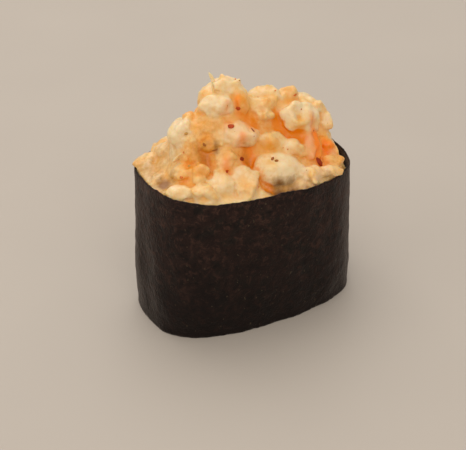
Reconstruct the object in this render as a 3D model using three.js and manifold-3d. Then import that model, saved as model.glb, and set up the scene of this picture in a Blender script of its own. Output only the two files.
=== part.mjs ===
// Gunkan sushi: an oval block of rice in a strip of nori, heaped with chopped seafood in chilli sauce.
// Millimetres, +Z up. X runs along the oval, -Y is the front, and the strip's lap is at the back.
import * as THREE from "three";
import { mergeVertices } from "three/addons/utils/BufferGeometryUtils.js";
import Module from "manifold-3d";

const wasm = await Module();
wasm.setup();

// Driving sizes of the wrap
const LENGTH = 50;
const WIDTH = 29.2;
const HEIGHT = 32.9;
const NORI = 0.5;
const LAP = 11;
const GAP = 0.3;

// How the oval departs from a plain one
const FRONT_POWER = 2.75;
const BACK_POWER = 3.3;
const RIGHT_LEAN = 0.095;
const LEFT_LEAN = -0.03;
const TOP_LENGTH = 0.941;
const TOP_WIDTH = 1.022;
const RIM_FALL = 1.3;
const FOOT_TUCK = 0.45;
const FOOT_TUCK_HEIGHT = 7;

// Rice
const RICE_FOOT = 1.7;
const RICE_TOP = 22;
const GRAIN_LENGTH = 6.4;
const GRAIN_WIDTH = 2.8;
const GRAINS = 56;

// Heap
const HEAP_FOOT = RICE_TOP + GAP;
const HEAP_LUMPS = [
  { x: -14.8, y: 1, wide: 2.5, deep: 9, high: 6.5 },
  { x: -5.5, y: 2, wide: 9.5, deep: 8.5, high: 18.3 },
  { x: 10.5, y: 1, wide: 9, deep: 8.5, high: 14.6 },
  { x: 17.8, y: 1, wide: 2.7, deep: 8, high: 8 },
];
const CHUNK_POWER = 3;
const SEAT = 0.84;

// Chunks that show at the front: place on the heap, half length, half width, half height,
// turn from +X in degrees, tilt of the long axis in degrees, and how far it stands out.
const FRONT_CHUNKS = [
  // the left peak
  [-3.6, 1.0, 3.7, 1.7, 1.4, -25, 0, -0.1],
  [-7.7, 3.8, 1.8, 2.0, 1.6, -40, 0, 0.1],
  [-7.8, -0.5, 3.2, 2.1, 2.0, -25, 0, 0.5],
  [-11.7, 3.2, 1.1, 1.1, 1.1, 0, 0, 0.3],
  [-15.4, 1.9, 2.9, 2.7, 2.4, -30, 0, 0.6],
  [-10.7, -2.1, 3.1, 3.3, 1.4, -30, 0, -0.4],
  [-1.8, -1.1, 2.3, 2.0, 1.6, -28, 0, 0.2],
  // the right peak
  [4.9, 1.9, 3.6, 1.9, 1.6, -28, 0, 0],
  [3.5, -1.5, 2.9, 2.2, 1.7, -28, 0, 0.2],
  [10.5, 0.4, 2.4, 1.7, 1.8, -20, 0, 0.3],
  [11.3, -3.4, 5.1, 3.3, 2.3, -28, 0, 0.7],
  [16.3, -1.6, 1.8, 1.5, 1.5, -20, 0, 0.2],
  [17.8, -3.0, 1.1, 2.4, 1.5, -20, 0, 0.1],
  // the hollow between the peaks
  [-4.0, -4.5, 3.5, 2.7, 2.2, -30, 0, 0.6],
  [-8.5, -6.3, 1.9, 1.9, 1.4, -30, 0, 0.1],
  [2.8, -5.5, 3.0, 2.4, 1.7, -25, 0, 0.1],
  [7.1, -7.0, 2.5, 2.2, 1.5, -20, 0, 0.1],
  [11.2, -6.9, 0.9, 2.8, 1.4, -20, 0, 0.3],
  [13.1, -6.9, 0.7, 2.8, 1.1, -15, 0, 0.3],
  [15.7, -6.4, 1.4, 1.4, 1.1, -15, 0, 0],
  [17.0, -7.1, 1.0, 1.9, 1.3, -20, 0, 0.2],
  [16.2, -9.2, 2.3, 1.5, 1.4, 0, 0, 0.1],
  // along the rim
  [-19.9, 8.8, 3.0, 2.8, 2.0, 60, 0, 0.4],
  [-20.8, 1.0, 1.4, 2.7, 1.5, -60, 0, 0.1],
  [-16.8, 8.3, 1.5, 3.1, 1.6, 0, 0, 0.1],
  [-17.5, -2.9, 2.4, 1.5, 1.4, -25, 0, 0.1],
  [-14.5, -6.1, 1.4, 1.1, 1.1, -25, 0, 0],
  [-15.4, -7.4, 1.5, 1.3, 1.3, -25, 0, 0.2],
  [-19.6, -6.4, 2.8, 1.5, 1.5, -45, 0, 0.3],
  [-15.6, -9.9, 2.8, 1.6, 1.5, -25, 0, 0.2],
  [-10.9, -9.1, 2.3, 3.1, 1.9, -25, 0, 0.4],
  [-5.9, -10.0, 2.7, 3.7, 2.0, -20, 0, 0.4],
  [2.9, -9.2, 4.7, 3.8, 2.8, -24, 0, 0.7],
  [9.5, -11.2, 2.3, 1.9, 1.6, -10, 0, 0.2],
  [14.5, -11.7, 2.7, 1.3, 1.3, -5, 0, 0.1],
  // loose shreds
  [-6.2, 2.3, 2.3, 0.45, 0.4, 156, 100, 1.2],
  [-16.6, -1.4, 1.6, 0.45, 0.45, -5, 14, 0.3],
];
const BACK_CHUNKS = 26;

// Chilli flecks: place on the heap and half length
const FLECKS = [
  [-3.4, -2.1, 0.7],
  [-6.1, -3.6, 0.8],
  [-1.9, -4.3, 1.1],
  [-4.8, -7.0, 0.8],
  [-9.0, -7.6, 0.8],
  [12.5, -9.3, 1.1],
  [1.4, -7.5, 0.6],
  [2.0, -8.0, 0.6],
  [-12.0, -3.2, 0.6],
  [-10.1, -4.5, 0.8],
  [-14.7, -0.8, 0.6],
  [-16.1, -4.2, 0.6],
  [-18.6, -2.2, 0.6],
  [-17.3, -4.7, 0.7],
  [10.5, -0.6, 0.7],
];
const BACK_FLECKS = 6;

// A repeatable number from 0 to 1 for each whole number.
function draw(index) {
  const wave = Math.sin(index * 12.9898 + 78.233) * 43758.5453;
  return wave - Math.floor(wave);
}

function signedPower(value, power) {
  return Math.sign(value) * Math.abs(value) ** power;
}

function smooth(value) {
  const t = THREE.MathUtils.clamp(value, 0, 1);
  return t * t * (3 - 2 * t);
}

// The oval's outer line at the foot, counter-clockwise from the right end.
function ovalPoint(angle) {
  const c = Math.cos(angle);
  const s = Math.sin(angle);
  const power = 2 / (s < 0 ? FRONT_POWER : BACK_POWER);
  const y = signedPower(s, power) * WIDTH / 2;
  const lean = (c > 0 ? RIGHT_LEAN : LEFT_LEAN) * Math.sqrt(Math.abs(c));
  return new THREE.Vector2(signedPower(c, power) * LENGTH / 2 + lean * y, y);
}

// The same line measured in millimetres from the strip's inner end, which lies at the back.
const LINE_STEPS = 900;
const LINE_START = THREE.MathUtils.degToRad(62);
const line = [];
for (let i = 0; i <= LINE_STEPS; i++) {
  const point = ovalPoint(LINE_START + (i / LINE_STEPS) * 2 * Math.PI);
  const travelled = i ? line[i - 1].travelled + point.distanceTo(line[i - 1].point) : 0;
  line.push({ point, travelled });
}
const GIRTH = line[LINE_STEPS].travelled;

// Point and outward direction of the oval at a distance along the line.
function walk(distance) {
  const travelled = ((distance % GIRTH) + GIRTH) % GIRTH;
  let i = 1;
  while (i < LINE_STEPS && line[i].travelled < travelled) i++;
  const from = line[i - 1];
  const to = line[i];
  const share = (travelled - from.travelled) / (to.travelled - from.travelled);
  const point = from.point.clone().lerp(to.point, share);
  const along = to.point.clone().sub(from.point).normalize();
  return { point, outward: new THREE.Vector2(along.y, -along.x) };
}

function rimHeight(x) {
  return HEIGHT - RIM_FALL * x / (LENGTH / 2);
}

// Soft dents of the pressed strip, the same on both of its faces.
function dent(distance, share) {
  const turn = (2 * Math.PI * distance) / GIRTH;
  const dents = Math.sin(3 * turn + 2.6 * share) + 0.7 * Math.sin(7 * turn - 3.4 * share + 1);
  return 0.13 * dents * smooth(share * 4) + 0.06 * Math.sin(17 * turn + 5 * share);
}

// A point of the wall: how far round, how far out from the oval, and how high.
function wallPoint(distance, out, height) {
  const { point, outward } = walk(distance);
  const share = height / rimHeight(point.x);
  const tuck = FOOT_TUCK * (1 - smooth(height / FOOT_TUCK_HEIGHT));
  const reach = out - tuck + dent(distance, share);
  const x = point.x + outward.x * reach;
  const y = point.y + outward.y * reach;
  return new THREE.Vector3(
    x * (1 + (TOP_LENGTH - 1) * share),
    y * (1 + (TOP_WIDTH - 1) * share) + 0.13 * share,
    height,
  );
}

// Rim height with the small waves of the strip's cut edge.
function wavyRim(distance) {
  const turn = (2 * Math.PI * distance) / GIRTH;
  const waves = 0.14 * Math.sin(5 * turn + 0.8) + 0.09 * Math.sin(13 * turn);
  return rimHeight(walk(distance).point.x) + waves;
}

// Joins rings of points, each counter-clockwise, to a closed surface.
// A tunnel's last ring joins its first; any other stack is closed by a point at each end.
function skin(rings, ends) {
  const count = rings[0].length;
  const points = rings.flat();
  const faces = [];
  const layers = ends ? rings.length - 1 : rings.length;
  for (let i = 0; i < layers; i++) {
    const low = i * count;
    const high = ((i + 1) % rings.length) * count;
    for (let j = 0; j < count; j++) {
      const next = (j + 1) % count;
      faces.push(low + j, low + next, high + next, low + j, high + next, high + j);
    }
  }
  if (ends) {
    const foot = points.push(ends[0]) - 1;
    const head = points.push(ends[1]) - 1;
    const last = (rings.length - 1) * count;
    for (let j = 0; j < count; j++) {
      const next = (j + 1) % count;
      faces.push(foot, next, j, head, last + j, last + next);
    }
  }
  return new THREE.BufferGeometry().setFromPoints(points).setIndex(faces);
}

function solidOf(geometry) {
  const bare = geometry.clone();
  bare.deleteAttribute("normal");
  bare.deleteAttribute("uv");
  const merged = mergeVertices(bare, 1e-4);
  const mesh = new wasm.Mesh({
    numProp: 3,
    vertProperties: new Float32Array(merged.attributes.position.array),
    triVerts: new Uint32Array(merged.index.array),
  });
  return new wasm.Manifold(mesh);
}

// The largest body of a solid, without loose scraps and without sealed hollows.
function mainBody(solid) {
  return solid.decompose().reduce((best, body) => (body.volume() > best.volume() ? body : best));
}

function namedMesh(name, geometry, material) {
  const mesh = new THREE.Mesh(geometry, material);
  mesh.name = name;
  return mesh;
}

function geometryOf(solid) {
  const { vertProperties, triVerts } = solid.getMesh();
  const geometry = new THREE.BufferGeometry();
  geometry.setAttribute("position", new THREE.BufferAttribute(new Float32Array(vertProperties), 3));
  geometry.setIndex(new THREE.BufferAttribute(new Uint32Array(triVerts), 1));
  geometry.computeVertexNormals();
  return geometry;
}

// Nori strip
const STEP = 0.15;
const CLIMB = 5;
const STRIP_ROWS = [0, 0.2, 0.45, 0.75, 1];
const STRIP_PITCH = 1.5;
const CUTTER_ROWS = [0.6, 0.8, 1];
const CUTTER_PITCH = 2.4;

// Distances round the wall, with a cut end's step between the lap and the rest.
function stripMarks(pitch) {
  const marks = [];
  const addEven = (start, end) => {
    const count = Math.round((end - start) / pitch);
    for (let i = 0; i <= count; i++) marks.push(start + (i / count) * (end - start));
  };
  addEven(0, LAP);
  addEven(LAP + STEP, GIRTH - STEP);
  return marks;
}

// How far the strip's faces lie from the oval: its outer end lies over its inner one.
function stripFaces(distance) {
  const climb = NORI * smooth((distance - GIRTH + CLIMB) / CLIMB);
  const lap = distance <= LAP ? NORI : 0;
  return { outer: lap + climb, inner: climb - NORI };
}

// The strip, or with swell the space round it that its neighbours leave free.
function stripGeometry(rows, pitch, swell) {
  const marks = stripMarks(pitch);
  const ring = (face, share) =>
    marks.map((distance) => {
      const out = stripFaces(distance)[face] + (face === "outer" ? swell : -swell);
      const height = (wavyRim(distance) + 2 * swell) * share - swell;
      return wallPoint(distance, out, height);
    });
  const outer = rows.map((share) => ring("outer", share));
  const inner = rows.map((share) => ring("inner", share)).reverse();
  return skin([...outer, ...inner]);
}

// Even marks for what lies inside the strip
function innerRing(count, out, height) {
  const ring = [];
  for (let i = 0; i < count; i++) ring.push(wallPoint((i / count) * GIRTH, out, height));
  return ring;
}

const INSIDE = -(NORI + GAP);

// Rice: a pressed block with grains showing at its foot
function riceGeometry() {
  const heights = [RICE_FOOT, 0.2 * HEIGHT, 0.45 * HEIGHT, RICE_TOP];
  const rings = heights.map((height) => innerRing(56, INSIDE, height));
  rings.unshift(innerRing(56, INSIDE - 1, RICE_FOOT - 0.3));
  const ends = [new THREE.Vector3(0, 0, RICE_FOOT - 0.3), new THREE.Vector3(0, 0, RICE_TOP)];
  const grains = [];
  for (let i = 0; i < GRAINS; i++) grains.push(grainSolid(i));
  const block = solidOf(skin(rings, ends));
  return geometryOf(mainBody(wasm.Manifold.union([block, ...grains])));
}

// A grain on the underside, at a place of an even spiral over the oval.
function grainSolid(index) {
  const spread = Math.sqrt((index + 0.5) / GRAINS);
  const angle = index * Math.PI * (3 - Math.sqrt(5));
  const edge = ovalPoint(angle);
  const length = GRAIN_LENGTH * (0.85 + 0.25 * draw(index));
  const width = GRAIN_WIDTH * (0.88 + 0.2 * draw(index + 300));
  const keep = spread * (1 - 0.5 * length / edge.length() - 0.06);
  const grain = new THREE.OctahedronGeometry(1, 1);
  grain.scale(length / 2, width / 2, width / 2);
  grain.rotateY((draw(index + 100) - 0.5) * 0.4);
  grain.rotateZ(draw(index + 200) * Math.PI);
  grain.computeBoundingBox();
  const lowest = 0.15 + 0.5 * draw(index + 400);
  grain.translate(edge.x * keep, edge.y * keep, lowest - grain.boundingBox.min.z);
  return solidOf(grain);
}

// Share of the way from the middle to the rim, 1 at the rim.
function rimShare(x, y) {
  const length = (LENGTH / 2) * 0.94;
  const width = (WIDTH / 2) * 1.02;
  const lean = x > 0 ? RIGHT_LEAN * y * Math.sqrt(Math.min(x / length, 1)) : 0;
  const power = y < 0 ? FRONT_POWER : BACK_POWER;
  return (Math.abs((x - lean) / length) ** power + Math.abs(y / width) ** power) ** (1 / power);
}

// Height of the heap's bare surface.
function heapHeight(x, y) {
  const edge = Math.max(1 - rimShare(x, y) ** 3, 0) ** 0.6;
  let sum = 0;
  for (const lump of HEAP_LUMPS) {
    sum += lump.high * Math.exp(-(((x - lump.x) / lump.wide) ** 2) - ((y - lump.y) / lump.deep) ** 2);
  }
  return rimHeight(x) + sum * edge;
}

// Which way the heap faces at a place, with steep slopes eased.
function heapFacing(x, y) {
  const reach = 1.5;
  const slope = (a, b) => THREE.MathUtils.clamp((a - b) / (2 * reach), -1.7, 1.7);
  const alongX = slope(heapHeight(x + reach, y), heapHeight(x - reach, y));
  const alongY = slope(heapHeight(x, y + reach), heapHeight(x, y - reach));
  return new THREE.Vector3(-alongX, -alongY, 1).normalize();
}

// A chunk's place, turned so that its flat side lies on the heap.
function chunkFrame([x, y, length, width, height, turn, tilt, proud]) {
  const facing = heapFacing(x, y);
  const yaw = THREE.MathUtils.degToRad(turn);
  const heading = new THREE.Vector3(Math.cos(yaw), Math.sin(yaw), 0);
  const along = heading.projectOnPlane(facing).normalize();
  const across = facing.clone().cross(along);
  const centre = new THREE.Vector3(x, y, heapHeight(x, y));
  centre.addScaledVector(facing, 1 + proud - SEAT * height);
  const lift = THREE.MathUtils.degToRad(tilt);
  along.applyAxisAngle(across, -lift);
  facing.applyAxisAngle(across, -lift);
  const size = new THREE.Vector3(length, width, height);
  return { centre, along, across, facing, size };
}

// A rounded block with a slightly uneven surface.
function chunkSolid(frame, index) {
  const ball = new THREE.IcosahedronGeometry(1, frame.size.x * frame.size.y > 9 ? 2 : 1);
  const matrix = new THREE.Matrix4().makeBasis(frame.along, frame.across, frame.facing);
  matrix.setPosition(frame.centre);
  const position = ball.attributes.position;
  const point = new THREE.Vector3();
  for (let i = 0; i < position.count; i++) {
    point.fromBufferAttribute(position, i);
    const total = point.toArray().reduce((sum, part) => sum + Math.abs(part) ** CHUNK_POWER, 0);
    const bumps = Math.sin(3.3 * point.x + index) + Math.sin(3.9 * point.y + 2 * index) + Math.sin(3.6 * point.z);
    point.multiplyScalar((1 + 0.045 * bumps) / total ** (1 / CHUNK_POWER));
    point.multiply(frame.size).applyMatrix4(matrix);
    position.setXYZ(i, point.x, point.y, point.z);
  }
  return solidOf(ball);
}

function frameHolds(frame, point) {
  const away = point.clone().sub(frame.centre);
  const parts = [
    away.dot(frame.along) / frame.size.x,
    away.dot(frame.across) / frame.size.y,
    away.dot(frame.facing) / frame.size.z,
  ];
  return parts.reduce((sum, part) => sum + Math.abs(part) ** CHUNK_POWER, 0) < 1;
}

// Chunks of the unseen side, on an even spiral, wherever no front chunk is near.
function backChunks() {
  const rows = [];
  const count = 2 * BACK_CHUNKS;
  for (let i = 0; i < count && rows.length < BACK_CHUNKS; i++) {
    const spread = Math.sqrt((i + 0.5) / count) * 0.93;
    const edge = ovalPoint(i * Math.PI * (3 - Math.sqrt(5)));
    const x = edge.x * spread * 0.94;
    const y = edge.y * spread;
    if (FRONT_CHUNKS.some((row) => Math.hypot(row[0] - x, row[1] - y) < 3.2)) continue;
    if (y < -2) continue;
    const length = 2.4 + 1.9 * draw(i);
    const width = length * (0.7 + 0.3 * draw(i + 50));
    const height = length * (0.55 + 0.2 * draw(i + 100));
    rows.push([x, y, length, width, height, 360 * draw(i + 150), 0, 0.4 * draw(i + 200)]);
  }
  return rows;
}

// The heap's body under its chunks: up inside the strip, then over the top.
function coreGeometry() {
  const count = 40;
  const rings = [innerRing(count, INSIDE - 0.2, HEAP_FOOT)];
  const rim = innerRing(count, INSIDE - 0.2, 30);
  const sink = (x, y, share) => 0.4 + 3 * smooth((x + 0.6 * y - 10) / 9) * share ** 4;
  for (const share of [1, 0.93, 0.84, 0.74, 0.62, 0.48, 0.3]) {
    rings.push(
      rim.map((point) => {
        const x = point.x * share;
        const y = point.y * share;
        const relief = 0.35 * Math.sin(2.1 * x + 1.3 * y) * Math.sin(1.7 * y - 0.9 * x + 1);
        return new THREE.Vector3(x, y, heapHeight(x, y) - sink(x, y, share) + relief);
      }),
    );
  }
  return skin(rings, [new THREE.Vector3(0, 0, HEAP_FOOT), new THREE.Vector3(0, 0, heapHeight(0, 0) - 1)]);
}

// A fleck where a line down the heap's facing first meets a chunk.
function fleckSolid([x, y, size], index, frames) {
  const facing = heapFacing(x, y);
  const point = new THREE.Vector3(x, y, heapHeight(x, y)).addScaledVector(facing, 3);
  const bare = () => point.z < heapHeight(point.x, point.y) - 1;
  for (let i = 0; i < 80 && !bare() && !frames.some((frame) => frameHolds(frame, point)); i++) {
    point.addScaledVector(facing, -0.06);
  }
  const fleck = new THREE.IcosahedronGeometry(1, 0);
  fleck.rotateZ(index);
  fleck.scale(size, 0.65 * size, 0.45);
  const turned = new THREE.Quaternion().setFromUnitVectors(new THREE.Vector3(0, 0, 1), facing);
  fleck.rotateZ(1.7 * index);
  fleck.applyQuaternion(turned);
  fleck.translate(point.x, point.y, point.z);
  return solidOf(fleck);
}

function backFlecks() {
  const rows = [];
  for (let i = 0; i < BACK_FLECKS; i++) {
    const edge = ovalPoint(Math.PI * (0.06 + 0.88 * draw(i + 500)));
    const spread = 0.25 + 0.6 * draw(i + 600);
    rows.push([edge.x * spread, edge.y * spread, 0.5 + 0.5 * draw(i + 700)]);
  }
  return rows;
}

// Topping: the core with its chunks and flecks, cut clear of the strip
function toppingGeometry() {
  const frames = [...FRONT_CHUNKS, ...backChunks()].map(chunkFrame);
  const chunks = frames.map(chunkSolid);
  const flecks = [...FLECKS, ...backFlecks()].map((row, i) => fleckSolid(row, i, frames));
  const heap = wasm.Manifold.union([solidOf(coreGeometry()), ...chunks, ...flecks]);
  const cutter = solidOf(stripGeometry(CUTTER_ROWS, CUTTER_PITCH, GAP + 0.05));
  return geometryOf(mainBody(heap.subtract(cutter)));
}

const nori = new THREE.MeshStandardMaterial({ color: 0x2a211d, roughness: 0.75 });
const rice = new THREE.MeshStandardMaterial({ color: 0xf1ece0, roughness: 0.45 });
const topping = new THREE.MeshStandardMaterial({ color: 0xf3c48c, roughness: 0.35 });

const gunkan = new THREE.Group();
gunkan.add(namedMesh("nori", stripGeometry(STRIP_ROWS, STRIP_PITCH, 0), nori));
gunkan.add(namedMesh("rice", riceGeometry(), rice));
gunkan.add(namedMesh("topping", toppingGeometry(), topping));

export default gunkan;
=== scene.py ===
"""Gunkan sushi: the looks of the nori strip, the rice and the heap of dressed seafood.

Sizes are in millimetres, in the frame of the part's source, and meshes are made in metres.
"""

import math

import bmesh
import bpy
import numpy as np
import openvdb
from mathutils import Matrix, Vector


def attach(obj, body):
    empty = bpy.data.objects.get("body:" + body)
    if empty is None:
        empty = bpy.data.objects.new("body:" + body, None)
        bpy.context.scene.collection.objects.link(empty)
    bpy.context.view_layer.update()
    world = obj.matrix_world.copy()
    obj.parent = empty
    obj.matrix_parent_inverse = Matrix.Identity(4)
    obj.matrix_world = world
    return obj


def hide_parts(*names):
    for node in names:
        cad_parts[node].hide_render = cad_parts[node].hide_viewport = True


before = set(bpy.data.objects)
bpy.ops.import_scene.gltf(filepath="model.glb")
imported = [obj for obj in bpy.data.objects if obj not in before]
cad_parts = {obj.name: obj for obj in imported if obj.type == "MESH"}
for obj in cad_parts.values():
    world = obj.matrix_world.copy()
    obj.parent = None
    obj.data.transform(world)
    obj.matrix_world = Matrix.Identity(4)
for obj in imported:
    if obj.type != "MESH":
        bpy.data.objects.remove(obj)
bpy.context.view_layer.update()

MM = 0.001
GOLDEN_ANGLE = math.pi * (3 - math.sqrt(5))

# Wrap, as in the part's source
LENGTH = 50.0
WIDTH = 29.2
HEIGHT = 32.9
LAP = 11.0
CLIMB = 5.0
FRONT_POWER = 2.75
BACK_POWER = 3.3
RIGHT_LEAN = 0.095
LEFT_LEAN = -0.03
TOP_LENGTH = 0.941
TOP_WIDTH = 1.022
TOP_SHIFT = 0.13
RIM_FALL = 1.3
FOOT_TUCK = 0.45
FOOT_TUCK_HEIGHT = 7.0

# The sheet, thinner than in the source, and the steps of its mesh along and up
SHEET = 0.3
SHEET_COLUMNS = 450
SHEET_ROWS = 84

# Rice, as in the part's source
RICE_FOOT = 1.7
RICE_TOP = 22.0
GRAIN_LENGTH = 6.4
GRAIN_WIDTH = 2.8
GRAINS = 56

# Heap, as in the part's source: the lumps by place, reach along and across, and height
HEAP_FOOT = 22.3
HEAP_LENGTH = 0.94
HEAP_WIDTH = 1.02
HEAP_LUMPS = [
    (-14.8, 1.0, 2.5, 9.0, 6.5),
    (-5.5, 2.0, 9.5, 8.5, 18.3),
    (10.5, 1.0, 9.0, 8.5, 14.6),
    (17.8, 1.0, 2.7, 8.0, 8.0),
]

# How deep a chunk's centre sits, in its half heights
SEAT = 0.84

# Front chunks, as in the part's source but for a few that are reshaped a little: place, half
# sizes, turn and tilt in degrees, how far it stands out, and then its tone from cream (0) to
# orange (1), how pink it is, and the radius of the ball that hollows its dimple.
FRONT_CHUNKS = [
    # the left peak
    (-3.6, 1.0, 3.7, 1.7, 1.4, -25, 0, -0.1, 0.12, 0.0, 0.0),
    (-7.7, 3.8, 1.8, 2.0, 1.6, -40, 0, 0.1, 0.38, 0.0, 0.0),
    (-7.8, -0.5, 3.2, 2.1, 2.0, -25, 0, 0.5, 0.02, 0.0, 0.0),
    (-11.7, 3.2, 1.1, 1.1, 1.1, 0, 0, 0.3, 0.75, 0.0, 0.0),
    (-15.4, 1.9, 2.9, 2.7, 2.4, -30, 0, 0.6, 0.02, 0.0, 0.0),
    (-10.7, -2.1, 3.1, 3.3, 1.4, -30, 0, -0.4, 0.62, 0.0, 0.0),
    (-1.8, -1.1, 2.3, 2.0, 1.6, -28, 0, 0.1, 0.70, 0.0, 0.0),
    # the right peak
    (4.9, 1.9, 3.6, 1.9, 1.6, -28, 0, 0.0, 0.18, 0.0, 0.0),
    (3.5, -1.5, 2.9, 2.2, 1.7, -28, 0, 0.2, 0.32, 0.0, 0.0),
    (10.5, 0.4, 2.4, 1.7, 1.8, -20, 0, 0.3, 0.40, 0.2, 0.0),
    (11.3, -3.4, 5.1, 3.3, 2.3, -28, 0, 0.7, 0.10, 0.0, 2.3),
    (16.3, -1.6, 1.8, 1.5, 1.5, -20, 0, 0.2, 0.30, 0.0, 0.0),
    (17.8, -3.0, 1.1, 2.4, 1.5, -20, 0, 0.1, 0.50, 0.2, 0.0),
    # the hollow between the peaks
    (-4.0, -4.5, 3.5, 2.7, 2.2, -30, 0, 0.6, 0.20, 0.3, 0.0),
    (-8.5, -6.3, 1.9, 1.9, 1.4, -30, 0, -0.3, 0.50, 0.1, 0.0),
    (2.8, -5.5, 3.0, 2.4, 1.7, -25, 0, 0.1, 0.50, 0.0, 0.0),
    (7.1, -7.0, 2.5, 2.2, 1.5, -20, 0, 0.1, 0.42, 0.4, 0.0),
    (11.0, -6.9, 1.6, 2.8, 1.4, -20, 0, 0.2, 0.66, 1.3, 0.0),
    (13.1, -6.9, 0.9, 2.8, 1.1, -15, 0, 0.3, 1.40, 0.1, 0.0),
    (15.7, -6.4, 1.4, 1.4, 1.1, -15, 0, 0.0, 1.00, 0.0, 0.0),
    (17.0, -7.1, 1.0, 1.9, 1.3, -20, 0, 0.2, 0.10, 0.2, 0.0),
    (16.2, -9.2, 2.3, 1.5, 1.4, 0, 0, 0.1, 0.58, 0.0, 0.0),
    # along the rim
    (-19.9, 8.8, 3.0, 2.8, 2.0, 60, 0, 0.4, 0.42, 0.0, 0.0),
    (-20.8, 1.0, 1.4, 2.7, 1.5, -60, 0, -0.8, 0.48, 0.0, 0.0),
    (-16.8, 8.3, 1.5, 3.1, 1.6, 0, 0, 0.1, 0.42, 0.1, 0.0),
    (-17.5, -2.9, 2.4, 1.5, 1.4, -25, 0, 0.1, 0.52, 0.0, 0.0),
    (-14.5, -6.1, 1.4, 1.1, 1.1, -25, 0, 0.0, 0.62, 0.3, 0.0),
    (-15.4, -7.4, 1.5, 1.3, 1.3, -25, 0, 0.2, 0.25, 0.0, 0.0),
    (-19.6, -6.4, 2.8, 1.5, 1.5, -45, 0, 0.3, 0.12, 0.0, 0.0),
    (-15.6, -9.9, 2.8, 1.6, 1.5, -25, 0, 0.2, 0.22, 0.0, 0.0),
    (-10.9, -9.1, 2.3, 3.1, 1.9, -25, 0, 0.4, 0.12, 0.0, 0.0),
    (-5.9, -10.0, 2.7, 3.7, 2.0, -20, 0, 0.4, 0.18, 0.2, 1.7),
    (2.3, -9.0, 5.3, 3.8, 2.2, -24, 0, 1.0, 0.08, 0.0, 0.0),
    (9.5, -11.2, 2.3, 1.9, 1.6, -10, 0, 0.2, 0.22, 0.3, 0.0),
    (14.5, -11.7, 2.7, 1.3, 1.3, -5, 0, 0.1, 0.45, 0.1, 0.0),
]
BACK_CHUNKS = 26

# Where a dimple's ball sits, in shares of the chunk's half sizes
DIMPLE = (-0.36, -0.10, 1.60)

# The footprint (half length times half width) above which a chunk has a crisp join, and above
# which its outline is smoother too, and the width of each join
LARGE_CHUNK = 7.5
SLAB = 17.5
CRISP_JOIN = 0.50
SOFT_JOIN = 0.85

# Crumbs: how many, their smallest and largest half length, how deep they sink, and their seed
CRUMBS = [
    (90, 0.8, 1.5, 0.8, 6),
    (350, 0.35, 0.85, 0.5, 5),
]

# Where orange sauce has gathered, its deep orange in the front creases partly painted shade: place,
# reach and strength
SAUCE_AND_SHADE_POOLS = [
    (5.3, -3.5, 1.5, 1.0),
    (6.7, -4.7, 1.7, 1.2),
    (9.0, -5.8, 1.7, 1.2),
    (2.8, -3.6, 1.5, 0.45),
    (-1.7, -2.5, 1.5, 0.8),
    (-0.3, -3.4, 1.6, 0.8),
    (-3.1, -6.6, 1.7, 1.2),
    (-15.2, -3.7, 1.9, 0.8),
    (-12.2, -4.5, 2.0, 1.0),
    (-12.6, -6.9, 1.5, 0.6),
    (13.1, -7.4, 1.4, 0.8),
    (15.2, -6.6, 1.7, 0.8),
    (14.6, -11.8, 2.0, 0.4),
    (-2.2, -8.6, 1.0, 0.7),
    (-2.4, -10.2, 1.0, 0.6),
    (-1.2, -11.8, 1.5, 1.0),
    (2.8, -14.2, 1.8, 0.6),
    (-17.2, -4.8, 1.6, 0.4),
    (4.0, 8.0, 3.5, 0.8),
    (-9.0, 9.0, 2.8, 0.7),
    (14.0, 7.0, 2.8, 0.7),
]

# Hollows of the sauce between chunks (or swellings, below 0): place, reach and depth
CORE_DIPS = [
    (-1.7, -9.4, 1.2, 0.7),
    (-1.2, -11.4, 1.4, 1.0),
    (0.8, -12.9, 1.8, 1.5),
    (3.9, -13.4, 2.0, 1.4),
    (-3.2, -6.7, 1.4, 1.8),
    (6.0, -4.4, 2.2, 0.7),
    (-12.4, -5.0, 1.8, 0.6),
    (-21.3, 4.2, 3.4, -0.6),
]

# Where no crumbs lie: place and reach
BARE_SPOTS = [
    (2.9, -9.2, 3.9),
    (11.3, -3.4, 3.4),
    (-10.7, -2.1, 2.8),
    (-20.5, 3.5, 4.0),
    (-20.6, -1.4, 2.2),
    (-3.2, -6.6, 1.5),
    (6.0, -4.3, 2.0),
    (8.6, -5.6, 1.6),
    (-4.0, -4.5, 2.2),
]

# Where the pieces are more orange (or paler, below 0): place, reach and amount
TONE_SPOTS = [
    (-14.4, -4.2, 2.2, 0.55),
    (-12.0, -4.1, 2.0, 0.55),
    (-10.9, -1.8, 2.5, 0.15),
    (10.6, -7.2, 1.5, 0.30),
    (17.5, -9.6, 2.6, 0.35),
    (1.4, -7.4, 1.4, 0.45),
    (0.3, -9.2, 1.5, 0.40),
    (-15.2, -7.1, 1.5, 0.35),
    (-3.0, -1.9, 1.6, 0.30),
    (-15.8, -6.6, 1.5, 0.25),
    (9.6, -0.2, 1.8, 0.20),
    (9.6, -5.6, 1.2, 0.70),
]

# Where the sauce is thick and creamy: place, reach and strength
CREAM_SPOTS = [
    (-6.0, 1.5, 4.5, 1.0),
    (4.0, 1.0, 4.0, 0.8),
    (-15.0, 2.0, 3.0, 0.7),
    (-9.0, -9.5, 5.0, 0.8),
    (9.0, -10.5, 3.0, 0.5),
]

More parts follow.
